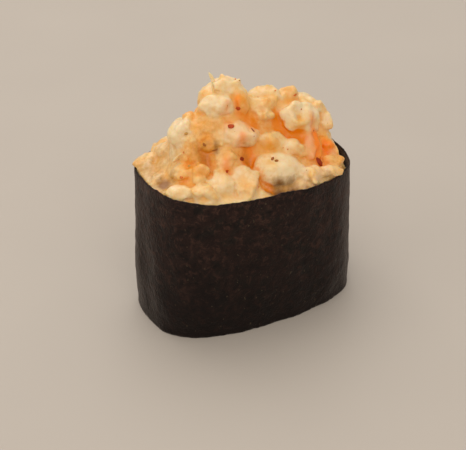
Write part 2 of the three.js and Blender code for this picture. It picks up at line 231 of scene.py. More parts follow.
# Painted shade, a darker brown, in the shadowed creases under the big front slab, in small crevices
# and on the left side that faces away from the light: place, reach and strength
SHADE_BROWN_SPOTS = [
    (-20.6, -1.7, 1.7, 1.1),
    (-13.0, -4.4, 2.6, 0.45),
    (-21.3, 4.5, 5.0, 0.42),
    # Painted shadow of a small curled shred, with a brown sliver among the flecks.
    (-9.8, -4.7, 0.7, 0.7),
    (-1.2, -12.8, 1.1, 0.8),
    (0.9, -13.3, 1.6, 1.6),
    (3.9, -13.9, 1.7, 1.6),
    (6.8, -14.0, 1.2, 0.8),
    (-3.7, -6.6, 1.1, 0.4),
    (-11.6, -2.8, 2.6, 0.18),
    (17.5, -9.6, 2.6, 0.25),
    (13.0, -12.4, 1.3, 0.4),
]

# Bright orange streaks on the right peak's foot: place, reach and strength
STREAKS = [
    (13.3, -6.1, 1.1, 1.0),
    (13.0, -7.0, 1.0, 1.1),
    (12.7, -7.8, 0.9, 1.1),
    (12.3, -8.6, 0.7, 0.9),
    (15.1, -7.3, 1.1, 1.0),
    (16.2, -7.7, 0.9, 0.8),
]

# Flecks: place, half length and width, turn, and kind (0 red, 1 dark red, 2 brown, 3 olive,
# 4 orange)
FLECKS = [
    (-3.4, -2.1, 0.55, 0.45, 30, 0),
    (-6.1, -3.6, 0.70, 0.50, -30, 0),
    # Painted shadow: this thin dark sliver is the shadow line along a chunk's edge, not a flake.
    (-1.9, -4.3, 0.90, 0.28, -70, 1),
    (-4.8, -7.0, 0.60, 0.45, 0, 1),
    (-9.0, -7.6, 0.70, 0.55, 20, 0),
    (12.5, -9.3, 1.15, 0.85, -60, 1),
    (1.0, -7.7, 0.50, 0.32, 40, 2),
    (1.7, -8.1, 0.50, 0.32, -10, 2),
    (-12.0, -3.2, 0.45, 0.25, 80, 2),
    # Painted shadow: this brown sliver and the brown spot at the same place draw the shadow of a
    # small curled shred.
    (-10.1, -4.5, 0.80, 0.28, 70, 2),
    (-14.7, -0.8, 0.45, 0.35, 0, 3),
    (-16.1, -4.2, 0.50, 0.30, 10, 3),
    (-18.6, -2.2, 0.45, 0.35, 30, 3),
    (-17.3, -4.7, 0.40, 0.28, 0, 4),
    (10.5, -0.6, 0.45, 0.30, 20, 4),
]

# How many flecks lie on the unseen side and how many are tiny, and the colour of each kind
BACK_FLECKS = 6
SMALL_FLECKS = 32
FLECK_COLOURS = [
    (0.56, 0.070, 0.008),
    (0.30, 0.028, 0.003),
    (0.38, 0.12, 0.012),
    (0.66, 0.36, 0.08),
    (0.75, 0.20, 0.035),
]


def draw(index):
    """A repeatable number from 0 to 1 for each whole number."""
    wave = math.sin(index * 12.9898 + 78.233) * 43758.5453
    return wave - math.floor(wave)


def smooth(value):
    t = np.clip(value, 0.0, 1.0)
    return t * t * (3 - 2 * t)


def signed_power(value, power):
    return np.sign(value) * np.abs(value) ** power


# The wrap's wall


def oval_points(angles):
    """The oval's outer line at the foot, counter-clockwise from the right end."""
    c = np.cos(angles)
    s = np.sin(angles)
    power = 2 / np.where(s < 0, FRONT_POWER, BACK_POWER)
    y = signed_power(s, power) * WIDTH / 2
    lean = np.where(c > 0, RIGHT_LEAN, LEFT_LEAN) * np.sqrt(np.abs(c))
    return np.stack([signed_power(c, power) * LENGTH / 2 + lean * y, y], -1)


LINE_STEPS = 900
LINE = oval_points(math.radians(62) + np.linspace(0, 2 * math.pi, LINE_STEPS + 1))
LINE_PARTS = np.linalg.norm(np.diff(LINE, axis=0), axis=1)
TRAVELLED = np.concatenate([[0], np.cumsum(LINE_PARTS)])
GIRTH = TRAVELLED[-1]


def walk(distance):
    """Points and outward directions of the oval at distances from the strip's inner end."""
    d = np.mod(distance, GIRTH)
    point = np.stack([np.interp(d, TRAVELLED, LINE[:, k]) for k in (0, 1)], -1)
    step = np.clip(np.searchsorted(TRAVELLED, d, side="left") - 1, 0, LINE_STEPS - 1)
    along = (LINE[step + 1] - LINE[step]) / LINE_PARTS[step][..., None]
    return point, np.stack([along[..., 1], -along[..., 0]], -1)


def rim_height(x):
    return HEIGHT - RIM_FALL * x / (LENGTH / 2)


def dent(distance, share):
    """Soft dents of the pressed strip."""
    turn = 2 * math.pi * distance / GIRTH
    dents = np.sin(3 * turn + 2.6 * share) + 0.7 * np.sin(7 * turn - 3.4 * share + 1)
    return 0.13 * dents * smooth(share * 4) + 0.06 * np.sin(17 * turn + 5 * share)


def wall_points(distance, out, height):
    """Points of the wall: how far round, how far out from the oval, and how high."""
    point, outward = walk(distance)
    share = height / rim_height(point[..., 0])
    tuck = FOOT_TUCK * (1 - smooth(height / FOOT_TUCK_HEIGHT))
    reach = out - tuck + dent(distance, share)
    flat = point + outward * reach[..., None]
    x = flat[..., 0] * (1 + (TOP_LENGTH - 1) * share)
    y = flat[..., 1] * (1 + (TOP_WIDTH - 1) * share) + TOP_SHIFT * share
    return np.stack([x, y, height + 0 * x], -1)


def wavy_rim(distance):
    """Rim height with the small waves of the strip's cut edge."""
    turn = 2 * math.pi * distance / GIRTH
    waves = 0.14 * np.sin(5 * turn + 0.8) + 0.09 * np.sin(13 * turn)
    return rim_height(walk(distance)[0][..., 0]) + waves


# The heap


def rim_share(x, y):
    """Share of the way from the middle to the rim, 1 at the rim."""
    length = LENGTH / 2 * HEAP_LENGTH
    width = WIDTH / 2 * HEAP_WIDTH
    lean = np.where(x > 0, RIGHT_LEAN * y * np.sqrt(np.clip(x / length, 0, 1)), 0)
    power = np.where(y < 0, FRONT_POWER, BACK_POWER)
    across = np.abs((x - lean) / length) ** power + np.abs(y / width) ** power
    return across ** (1 / power)


def heap_height(x, y):
    """Height of the heap's bare surface."""
    edge = np.clip(1 - rim_share(x, y) ** 3, 0, None) ** 0.6
    total = 0
    for lump_x, lump_y, wide, deep, high in HEAP_LUMPS:
        total = total + high * np.exp(-(((x - lump_x) / wide) ** 2) - ((y - lump_y) / deep) ** 2)
    return rim_height(x) + total * edge


def heap_facing(x, y):
    """Which way the heap faces at a place, with steep slopes eased."""
    reach = 1.5
    along_x = (heap_height(x + reach, y) - heap_height(x - reach, y)) / (2 * reach)
    along_y = (heap_height(x, y + reach) - heap_height(x, y - reach)) / (2 * reach)
    slopes = np.clip(np.stack([along_x, along_y], -1), -1.7, 1.7)
    facing = np.concatenate([-slopes, np.ones(slopes.shape[:-1] + (1,))], -1)
    return facing / np.linalg.norm(facing, axis=-1, keepdims=True)


def chunk_frame(row):
    """A chunk's centre, axes (as columns) and half sizes."""
    x, y, length, width, height, turn, tilt, proud = row[:8]
    facing = heap_facing(np.float64(x), np.float64(y))
    heading = np.array([math.cos(math.radians(turn)), math.sin(math.radians(turn)), 0])
    along = heading - facing * heading.dot(facing)
    along /= np.linalg.norm(along)
    across = np.cross(facing, along)
    centre = np.array([x, y, float(heap_height(x, y))]) + facing * (1 + proud - SEAT * height)
    lift = math.radians(tilt)
    raised = along * math.cos(lift) + facing * math.sin(lift)
    normal = facing * math.cos(lift) - along * math.sin(lift)
    return centre, np.stack([raised, across, normal], -1), np.array([length, width, height])


def back_chunks():
    """Chunks of the unseen side, as in the part's source."""
    rows = []
    count = 2 * BACK_CHUNKS
    for i in range(count):
        if len(rows) >= BACK_CHUNKS:
            break
        spread = math.sqrt((i + 0.5) / count) * 0.93
        edge = oval_points(np.float64(i * GOLDEN_ANGLE))
        x = edge[0] * spread * HEAP_LENGTH
        y = edge[1] * spread
        near = any(math.hypot(row[0] - x, row[1] - y) < 3.2 for row in FRONT_CHUNKS)
        if near or y < -2:
            continue
        length = 2.4 + 1.9 * draw(i)
        width = length * (0.7 + 0.3 * draw(i + 50))
        height = length * (0.55 + 0.2 * draw(i + 100))
        turn = 360 * draw(i + 150)
        tone = 0.1 + 0.6 * draw(i + 250)
        pink = 0.7 * (draw(i + 350) > 0.8)
        rows.append((x, y, length, width, height, turn, 0, 0.4 * draw(i + 200), tone, pink, 0.0))
    return rows


# Noise and distance fields

NOISE_CELLS = 64


def value_noise(points, cell, seed):
    """Smooth noise from -1 to 1 at points in millimetres, with features about a cell wide."""
    table = np.random.RandomState(seed).uniform(-1, 1, (NOISE_CELLS,) * 3).astype(np.float32)
    q = np.asarray(points, np.float32) / np.float32(cell) + np.float32(1000)
    base = np.floor(q).astype(np.int32)
    f = q - base
    f = f * f * (3 - 2 * f)
    i0, j0, k0 = (base[..., k] % NOISE_CELLS for k in range(3))
    i1, j1, k1 = ((n + 1) % NOISE_CELLS for n in (i0, j0, k0))
    fx, fy, fz = (f[..., k] for k in range(3))
    low = table[i0, j0, k0] * (1 - fx) + table[i1, j0, k0] * fx
    low = low * (1 - fy) + (table[i0, j1, k0] * (1 - fx) + table[i1, j1, k0] * fx) * fy
    high = table[i0, j0, k1] * (1 - fx) + table[i1, j0, k1] * fx
    high = high * (1 - fy) + (table[i0, j1, k1] * (1 - fx) + table[i1, j1, k1] * fx) * fy
    return low * (1 - fz) + high * fz


def soft_least(a, b, blend):
    """The lesser of two distances, with a fillet of the blend's width where they meet."""
    share = np.clip(0.5 + 0.5 * (a - b) / blend, 0, 1)
    return a * (1 - share) + b * share - blend * share * (1 - share)


FAR = 4.0
COLOUR_SPREAD = 0.45


class Field:
    """Signed distances on a grid of points, negative inside, with a tone and a pinkness."""

    def __init__(self, low, high, pitch):
        self.low = np.array(low, float)
        self.pitch = pitch
        counts = np.ceil((np.array(high) - self.low) / pitch).astype(int) + 1
        axes = [self.low[k] + pitch * np.arange(counts[k]) for k in range(3)]
        self.points = np.stack(np.meshgrid(*axes, indexing="ij"), -1).astype(np.float32)
        self.value = np.full(counts, FAR, np.float32)
        self.weight = np.zeros(counts, np.float32)
        self.tone = np.zeros(counts, np.float32)
        self.pink = np.zeros(counts, np.float32)

    def region(self, centre, radius):
        start = np.floor((centre - radius - self.low) / self.pitch).astype(int)
        end = np.ceil((centre + radius - self.low) / self.pitch).astype(int) + 1
        start = np.clip(start, 0, self.value.shape)
        end = np.clip(end, 0, self.value.shape)
        return tuple(slice(a, b) for a, b in zip(start, end))

    def join(self, where, distance, blend, tone, pink):
        """Adds a piece with a soft fillet of the blend's width, and its colour spread wider."""
        self.value[where] = soft_least(self.value[where], distance, blend)
        weight = np.exp(-np.clip(distance, -1.0, FAR) / COLOUR_SPREAD)
        self.weight[where] += weight
        self.tone[where] += weight * tone
        self.pink[where] += weight * pink

    def sample(self, grid, points):
        """A grid's values at points, by linear interpolation."""
        q = (points - self.low) / self.pitch
        base = np.clip(np.floor(q).astype(int), 0, np.array(grid.shape) - 2)
        f = np.clip(q - base, 0, 1)
        total = 0
        for dx in (0, 1):
            for dy in (0, 1):
                for dz in (0, 1):
                    weight = (
                        (f[:, 0] if dx else 1 - f[:, 0])
                        * (f[:, 1] if dy else 1 - f[:, 1])
                        * (f[:, 2] if dz else 1 - f[:, 2])
                    )
                    total = total + weight * grid[base[:, 0] + dx, base[:, 1] + dy, base[:, 2] + dz]
        return total

    def normal(self, points):
        """Which way the surface faces at points on it."""
        steps = 0.4 * np.eye(3)
        ahead = [self.sample(self.value, points + step) for step in steps]
        behind = [self.sample(self.value, points - step) for step in steps]
        facing = np.stack(ahead, -1) - np.stack(behind, -1)
        return facing / np.maximum(np.linalg.norm(facing, axis=-1, keepdims=True), 1e-6)

    def surface(self, x, y):
        """Where lines down the heap's facing first meet the surface, and the facings."""
        start, end = 4.0, -3.0
        facing = heap_facing(x, y)
        foot = np.stack([x, y, heap_height(x, y)], -1)
        found = foot + facing * end
        done = np.zeros(len(x), bool)
        for step in np.arange(start, end, -0.08):
            point = foot + facing * step
            inside = (self.sample(self.value, point) < 0) & ~done
            found[inside] = point[inside]
            done |= inside
        return found, facing


def blurred(grid, sigma):
    """A grid blurred along its three axes, sigma in cells."""
    reach = int(math.ceil(2.5 * sigma))
    weights = np.exp(-0.5 * (np.arange(-reach, reach + 1) / sigma) ** 2)
    weights = (weights / weights.sum()).astype(np.float32)
    for axis in range(3):
        widths = [(reach, reach) if k == axis else (0, 0) for k in range(3)]
        padded = np.pad(grid, widths, mode="edge")
        size = grid.shape[axis]
        total = np.zeros_like(grid)
        for i, weight in enumerate(weights):
            cut = [slice(None)] * 3
            cut[axis] = slice(i, i + size)
            total += weight * padded[tuple(cut)]
        grid = total
    return grid


def wall_distance(points):
    """How far points lie outside the oval wall, by height, negative inside it."""
    x, y, z = (points[..., k] for k in range(3))
    share = z / rim_height(x)
    flat_x = x / (1 + (TOP_LENGTH - 1) * share)
    flat_y = (y - TOP_SHIFT * share) / (1 + (TOP_WIDTH - 1) * share)
    pitch = 0.25
    reach_x = 27
    reach_y = 18
    axis_x = np.arange(-reach_x, reach_x + 0.01, pitch)
    axis_y = np.arange(-reach_y, reach_y + 0.01, pitch)
    table = np.full((len(axis_x), len(axis_y)), 1e9)
    nearest = np.zeros(table.shape)
    grid = np.stack(np.meshgrid(axis_x, axis_y, indexing="ij"), -1)
    for i in range(0, LINE_STEPS, 2):
        away = np.hypot(grid[..., 0] - LINE[i, 0], grid[..., 1] - LINE[i, 1])
        closer = away < table
        table[closer] = away[closer]
        nearest[closer] = TRAVELLED[i]
    point, outward = walk(nearest)
    table = ((grid - point) * outward).sum(-1)
    i = np.clip((flat_x + reach_x) / pitch, 0, len(axis_x) - 1.001)
    j = np.clip((flat_y + reach_y) / pitch, 0, len(axis_y) - 1.001)
    i0, j0 = i.astype(int), j.astype(int)
    fi, fj = i - i0, j - j0
    flat = table[i0, j0] * (1 - fi) * (1 - fj) + table[i0 + 1, j0] * fi * (1 - fj)
    flat = flat + table[i0, j0 + 1] * (1 - fi) * fj + table[i0 + 1, j0 + 1] * fi * fj
    return flat - dent(nearest[i0, j0], share)


def sphere_directions(count, seed):
    """Even directions in a random turn."""
    i = np.arange(count) + 0.5
    z = 1 - 2 * i / count
    angle = i * GOLDEN_ANGLE
    flat = np.sqrt(1 - z * z)
    directions = np.stack([flat * np.cos(angle), flat * np.sin(angle), z], -1)
    turn, _ = np.linalg.qr(np.random.RandomState(seed).normal(size=(3, 3)))
    return directions @ turn


def chunk_distance(local, size, seed, rough=1.0, edge=12.0, sides=14):
    """Distance to an uneven block with rounded edges, in its own axes."""
    rng = np.random.RandomState(seed)
    planes = sphere_directions(sides, seed) * (1 + rough * rng.uniform(-0.13, 0.13, (sides, 1)))
    q = local / size
    against = np.maximum(q @ planes.T.astype(np.float32), 0)
    share = (against**edge).sum(-1) ** (1 / edge)
    radius = np.linalg.norm(local, axis=-1)
    return radius - radius / np.maximum(share, 1e-6)


# Meshes


def add_mesh(name, points, faces, material):
    """A mesh object from points in millimetres."""
    mesh = bpy.data.meshes.new(name)
    mesh.from_pydata((np.asarray(points) * MM).tolist(), [], [list(map(int, f)) for f in faces])
    mesh.validate()
    mesh.polygons.foreach_set("use_smooth", [True] * len(mesh.polygons))
    mesh.materials.append(material)
    obj = bpy.data.objects.new(name, mesh)
    bpy.context.scene.collection.objects.link(obj)
    return obj


def add_attribute(obj, name, values):
    attribute = obj.data.attributes.new(name, "FLOAT", "POINT")
    attribute.data.foreach_set("value", np.asarray(values, np.float32))


def largest_part(points, faces):
    """The largest connected part of a mesh."""
    label = np.arange(len(points))
    edges = np.concatenate([faces[:, [0, 1]], faces[:, [1, 2]], faces[:, [2, 3]]])
    while True:
        low = np.minimum(label[edges[:, 0]], label[edges[:, 1]])
        fresh = label.copy()
        np.minimum.at(fresh, edges[:, 0], low)
        np.minimum.at(fresh, edges[:, 1], low)
        fresh = fresh[fresh]
        if (fresh == label).all():
            break
        label = fresh
    keep = label == np.bincount(label).argmax()
    number = np.cumsum(keep) - 1
    faces = number[faces[keep[faces[:, 0]]]]
    return points[keep], faces


# Materials


class Shader:
    """A material's node tree, with short ways to add what it needs."""

    def __init__(self, name):
        self.material = bpy.data.materials.new(name)
        self.material.use_nodes = True
        self.tree = self.material.node_tree
        self.principled = self.tree.nodes["Principled BSDF"]

    def add(self, kind, **inputs):
        node = self.tree.nodes.new(kind)
        for name, value in inputs.items():
            self.put(node, name.replace("_", " "), value)
        return node

    def put(self, node, name, value):
        socket = node.inputs[name]
        if isinstance(value, bpy.types.NodeSocket):
            self.tree.links.new(value, socket)
        else:
            socket.default_value = value

    def position(self):
        return self.add("ShaderNodeTexCoord").outputs["Object"]

    def height(self, vector):
        node = self.add("ShaderNodeSeparateXYZ", Vector=vector)
        return node.outputs["Z"]

    def attribute(self, name):
        node = self.add("ShaderNodeAttribute")
        node.attribute_name = name
        return node.outputs["Fac"]

    def stretch(self, vector, scale):
        node = self.add("ShaderNodeVectorMath")
        node.operation = "MULTIPLY"
        self.put(node, 0, vector)
        self.put(node, 1, scale)
        return node.outputs[0]

    def noise(self, vector, size, detail=2.0, roughness=0.5, distortion=0.0):
        """Noise with features of a size in millimetres."""
        node = self.add(
            "ShaderNodeTexNoise",
            Vector=vector,
            Scale=1 / (size * MM),
            Detail=detail,
            Roughness=roughness,
            Distortion=distortion,
        )
        return node.outputs["Fac"]

    def cell_edges(self, vector, size):
        """Distance to the borders of cells of a size in millimetres."""
        node = self.add("ShaderNodeTexVoronoi", Vector=vector, Scale=1 / (size * MM))
        node.feature = "DISTANCE_TO_EDGE"
        return node.outputs["Distance"]

    def math(self, operation, a, b):
        node = self.add("ShaderNodeMath")
        node.operation = operation
        self.put(node, 0, a)
        self.put(node, 1, b)
        return node.outputs[0]

    def span(self, value, low, high, to_low=0.0, to_high=1.0):
        """A value stretched from one range to another, and held there."""
        ends = {"From_Min": low, "From_Max": high, "To_Min": to_low, "To_Max": to_high}
        return self.add("ShaderNodeMapRange", Value=value, **ends).outputs[0]

    def mix(self, share, a, b):
        node = self.add("ShaderNodeMix")
        node.data_type = "RGBA"
        self.put(node, 0, share)
        for name, value in (("A", a), ("B", b)):
            socket = [s for s in node.inputs if s.name == name and s.type == "RGBA"][0]
            if isinstance(value, bpy.types.NodeSocket):
                self.tree.links.new(value, socket)
            else:
                socket.default_value = (*value, 1.0)
        return [s for s in node.outputs if s.type == "RGBA"][0]

    def bump(self, height, depth, before=None):
        """Bumps of a depth in millimetres."""
        node = self.add("ShaderNodeBump", Height=height, Strength=1.0, Distance=depth * MM)
        if before is not None:
            self.tree.links.new(before, node.inputs["Normal"])
        return node.outputs[0]

    def finish(self, **inputs):
        """Sets the surface's inputs and gives the material."""
        for name, value in inputs.items():
            self.put(self.principled, name.replace("_", " "), value)
        return self.material


NORI_DARK = (0.0125, 0.0058, 0.0044)
NORI_RED = (0.0215, 0.0096, 0.0070)
NORI_GREEN = (0.0120, 0.0100, 0.0072)
NORI_PALE = (0.0560, 0.0260, 0.0180)
NORI_BLACK = (0.0035, 0.0020, 0.0016)
NORI_FLECK = (0.080, 0.058, 0.034)
NORI_SHEEN = (0.95, 0.78, 0.66, 1)


def nori_material():
    """Dry dark seaweed sheet: mottled, with painted shade that darkens it towards its foot, and a
    faint sheen.
    """
    shader = Shader("nori")
    place = shader.position()
    blotch = shader.noise(place, 4.5, 3.0, 0.6)
    mottle = shader.noise(place, 1.5, 4.0, 0.70, 0.6)
    green = shader.noise(place, 3.2, 2.0, 0.5, 0.3)
    fine = shader.noise(place, 0.30, 3.0, 0.7)
    fibres = shader.cell_edges(shader.stretch(place, (1.0, 1.0, 0.55)), 0.9)
    flecks = shader.noise(shader.stretch(place, (1.0, 1.0, 0.6)), 0.60, 1.0, 0.4)
    # Painted shade: the sheet is mixed towards black towards its foot, for the light from above
    # that reaches it less there.
    foot = shader.span(shader.height(place), 30 * MM, 4 * MM, 0.0, 0.75)
    colour = shader.mix(shader.span(blotch, 0.38, 0.62), NORI_DARK, NORI_RED)
    colour = shader.mix(shader.span(green, 0.52, 0.66, 0.0, 0.55), colour, NORI_GREEN)
    colour = shader.mix(shader.span(mottle, 0.52, 0.66, 0.0, 0.90), colour, NORI_PALE)
    colour = shader.mix(shader.span(mottle, 0.46, 0.36, 0.0, 0.80), colour, NORI_BLACK)
    colour = shader.mix(foot, colour, NORI_BLACK)
    colour = shader.mix(shader.span(flecks, 0.72, 0.79, 0.0, 0.7), colour, NORI_FLECK)
    bumps = shader.bump(mottle, 0.22)
    bumps = shader.bump(fine, 0.05, bumps)
    bumps = shader.bump(shader.span(fibres, 0.0, 0.18), 0.03, bumps)
    rough = shader.span(mottle, 0.3, 0.7, 0.50, 0.72)
    return shader.finish(
        Base_Color=colour,
        Roughness=rough,
        Normal=bumps,
        Sheen_Weight=0.17,
        Sheen_Roughness=0.36,
        Sheen_Tint=NORI_SHEEN,
        Specular_IOR_Level=0.13,
    )


RICE_DULL = (0.86, 0.81, 0.70)
RICE_WHITE = (0.93, 0.90, 0.82)


def rice_material():
    """Moist cooked rice, slightly clear."""
    shader = Shader("rice")
    place = shader.position()
    cloud = shader.noise(place, 2.4, 2.0, 0.5)
    colour = shader.mix(shader.span(cloud, 0.35, 0.65), RICE_DULL, RICE_WHITE)
    bumps = shader.bump(shader.noise(place, 0.5, 3.0, 0.6), 0.05)
    rough = shader.span(cloud, 0.3, 0.7, 0.28, 0.42)
    return shader.finish(
        Base_Color=colour,
        Roughness=rough,
        Normal=bumps,
        Subsurface_Weight=0.45,
        Subsurface_Radius=(1.0, 0.8, 0.6),
        Subsurface_Scale=1.6 * MM,
    )


CREAM = (0.91, 0.695, 0.40)
TAN = (0.88, 0.545, 0.20)
ORANGE = (0.87, 0.36, 0.035)
PINK = (0.92, 0.44, 0.25)
# The crease and pool oranges are partly painted shade, and the dark brown is painted shade.
CREASE = (0.92, 0.40, 0.028)
POOL_AND_SHADE_ORANGE = (0.88, 0.255, 0.001)
STAIN = (1.0, 0.24, 0.002)
SHADE_BROWN = (0.26, 0.092, 0.006)


def topping_material():
    """Chopped seafood in creamy sauce: cream chunks, tan and orange sauce in the creases, with
    painted shade: deeper orange in the creases and pools, darker brown in shadowed hollows.
    """
    shader = Shader("topping")
    place = shader.position()
    names = ("tone", "pink", "pit", "sauce", "brown_shade", "stain")
    tone, pink, pit, sauce, brown_shade, stain = (shader.attribute(name) for name in names)
    cloud = shader.noise(place, 2.6, 3.0, 0.55)
    small = shader.noise(place, 0.8, 3.0, 0.6)
    shifted = shader.math("ADD", tone, shader.span(cloud, 0.3, 0.7, -0.22, 0.22))
    shifted = shader.math("ADD", shifted, shader.span(small, 0.3, 0.7, -0.10, 0.10))
    # Sauce and painted shade: the creases turn a deeper orange, partly for sauce gathered there and
    # partly as painted shade.
    crease_sauce_and_shade = shader.span(tone, 0.0, 0.4, 0.05, 0.50)
    crease_sauce_and_shade = shader.math("MULTIPLY", shader.span(pit, 0.08, 0.75), crease_sauce_and_shade)
    # Sauce pools in the hollows, their deep orange partly painted shade.
    pool_and_shade = shader.math("MULTIPLY", sauce, shader.span(pit, -0.20, 0.40))
    pool_and_shade = shader.math("ADD", pool_and_shade, shader.span(small, 0.35, 0.65, -0.12, 0.12))
    pool_and_shade = shader.span(pool_and_shade, 0.12, 0.75)
    # Painted shade: the shadowed hollows are mixed towards a dark brown.
    brown_shade_share = shader.math("ADD", brown_shade, shader.span(small, 0.35, 0.65, -0.10, 0.10))
    brown_shade_share = shader.span(brown_shade_share, 0.05, 0.9, 0.0, 0.92)
    colour = shader.mix(shader.span(shifted, 0.0, 0.5), CREAM, TAN)
    colour = shader.mix(shader.span(shifted, 0.45, 1.0), colour, ORANGE)
    colour = shader.mix(shader.math("MULTIPLY", pink, 0.5), colour, PINK)
    colour = shader.mix(crease_sauce_and_shade, colour, CREASE)
    colour = shader.mix(pool_and_shade, colour, POOL_AND_SHADE_ORANGE)
    colour = shader.mix(shader.span(stain, 0.0, 0.9), colour, STAIN)
    colour = shader.mix(brown_shade_share, colour, SHADE_BROWN)
    covered = shader.math("MAXIMUM", brown_shade_share, shader.math("MULTIPLY", pool_and_shade, 0.7))
    soft = shader.math("MULTIPLY", shader.math("SUBTRACT", 1.0, covered), 0.42)
    bumps = shader.bump(shader.noise(place, 1.0, 2.0, 0.5), 0.14)
    bumps = shader.bump(shader.noise(place, 0.35, 2.0, 0.5), 0.04, bumps)
    rough = shader.span(cloud, 0.3, 0.7, 0.28, 0.48)
    return shader.finish(
        Base_Color=colour,
        Roughness=rough,
        Normal=bumps,
        Subsurface_Weight=soft,
        Subsurface_Radius=(1.0, 0.55, 0.25),
        Subsurface_Scale=1.3 * MM,
        IOR=1.42,
        Coat_Weight=0.32,
        Coat_Roughness=0.14,
        Specular_IOR_Level=0.42,
    )


FLECK_GRAIN = (0.22, 0.030, 0.004)


def fleck_material():
    """Chilli flakes, each in its own colour, with darker grain, and two dark slivers that are
    painted shadow lines.
    """
    shader = Shader("fleck_paint_and_shadow_lines")
    paint = shader.add("ShaderNodeAttribute")
    paint.attribute_name = "paint"
    grain = shader.noise(shader.position(), 0.35, 2.0, 0.6)
    share = shader.span(grain, 0.40, 0.70, 0.0, 0.35)
    colour = shader.mix(share, paint.outputs["Color"], FLECK_GRAIN)
    bumps = shader.bump(grain, 0.05)
    return shader.finish(
        Base_Color=colour, Roughness=0.45, Normal=bumps, Specular_IOR_Level=0.25
    )


FLOOR_DARK = (0.512, 0.445, 0.376)
FLOOR_PALE = (0.530, 0.462, 0.390)


def floor_material():
    """Plain pale table top, very slightly uneven."""
    shader = Shader("floor")
    cloud = shader.noise(shader.position(), 60.0, 2.0, 0.5)
    colour = shader.mix(shader.span(cloud, 0.3, 0.7), FLOOR_DARK, FLOOR_PALE)
    return shader.finish(Base_Color=colour, Roughness=0.6)


# Pieces of the object


def grid_faces(rows, columns):
    """Quads of a sheet of points, row by row."""
    i, j = np.meshgrid(np.arange(rows - 1), np.arange(columns - 1), indexing="ij")
    corner = (i * columns + j).ravel()
    return np.stack([corner, corner + 1, corner + columns + 1, corner + columns], -1)


def add_nori(material):
    """The strip as one long sheet, its outer end laid over its inner one."""
    columns, rows = SHEET_COLUMNS, SHEET_ROWS
    distance = np.linspace(0, GIRTH + LAP, columns)[None, :]
    share = np.linspace(0, 1, rows)[:, None]
    at = np.stack(np.broadcast_arrays(distance, HEIGHT * share, 0 * share), -1)
    ragged = 0.10 * value_noise(at[-1:] * (1, 0, 0), 0.7, 11)
    ragged = ragged + 0.08 * value_noise(at[-1:] * (1, 0, 0), 2.3, 12)
    height = (wavy_rim(distance) + ragged) * share
    height = height + 0.08 * (1 + value_noise(at[:1] * (1, 0, 0), 0.9, 13)) * (1 - share) ** 8
    climb = smooth((distance - GIRTH + CLIMB) / CLIMB)
    relief = 0.14 * value_noise(at, 5.5, 21) + 0.070 * value_noise(at, 1.9, 22)
    relief = relief + 0.030 * value_noise(at, 0.8, 23)
    loose_end = 0.25 * smooth((distance - GIRTH - LAP + 2.5) / 2.5)
    tucked = -0.12 * smooth((LAP - distance) / 3)
    out = (SHEET + 0.08) * climb + loose_end + tucked + relief * (1 - 0.5 * climb)
    outer = wall_points(distance + 0 * share, out, height)
    inner = wall_points(distance + 0 * share, out - SHEET, height)
    count = rows * columns
    faces = grid_faces(rows, columns)
    points = np.concatenate([outer.reshape(-1, 3), inner.reshape(-1, 3)])
    edge = np.concatenate(
        [
            np.arange(columns),
            np.arange(1, rows) * columns + columns - 1,
            np.arange(columns - 2, -1, -1) + (rows - 1) * columns,
            np.arange(rows - 2, 0, -1) * columns,
        ]
    )
    following = np.roll(edge, -1)
    side = np.stack([edge, edge + count, following + count, following], -1)
    everything = np.concatenate([faces, faces[:, ::-1] + count, side])
    return add_mesh("nori_strip", points, everything, material)


def ball(detail):
    """Points and faces of a unit ball of triangles."""
    shape = bmesh.new()
    bmesh.ops.create_icosphere(shape, subdivisions=detail, radius=1.0)
    points = np.array([v.co[:] for v in shape.verts])
    faces = np.array([[v.index for v in f.verts] for f in shape.faces])
    shape.free()
    return points, faces


def joined(name, parts, material):
    """One mesh of several parts, each (points, faces)."""
    points, faces, count = [], [], 0
    for part_points, part_faces in parts:
        points.append(part_points)
        faces.extend((part_faces + count).tolist())
        count += len(part_points)
    return add_mesh(name, np.concatenate(points), faces, material)


def turned(tip, turn):
    return np.array(Matrix.Rotation(turn, 3, "Z") @ Matrix.Rotation(tip, 3, "Y"))


def add_rice_block(material):
    """The pressed block of rice."""
    columns = 120
    distance = np.arange(columns) * GIRTH / columns
    heights = [RICE_FOOT, 6.6, 14.8, RICE_TOP]
    rings = [wall_points(distance, np.full(columns, -0.8), np.full(columns, h)) for h in heights]
    points = np.concatenate([*rings, [[0, 0, RICE_FOOT], [0, 0, RICE_TOP]]])
    faces = []
    for i in range(len(heights) - 1):
        below, above = i * columns, (i + 1) * columns
        for j in range(columns):
            k = (j + 1) % columns
            faces.append([below + j, below + k, above + k, above + j])
    foot = len(heights) * columns
    top = (len(heights) - 1) * columns
    for j in range(columns):
        k = (j + 1) % columns
        faces.append([foot, k, j])
        faces.append([foot + 1, top + j, top + k])
    return add_mesh("rice_block", points, faces, material)


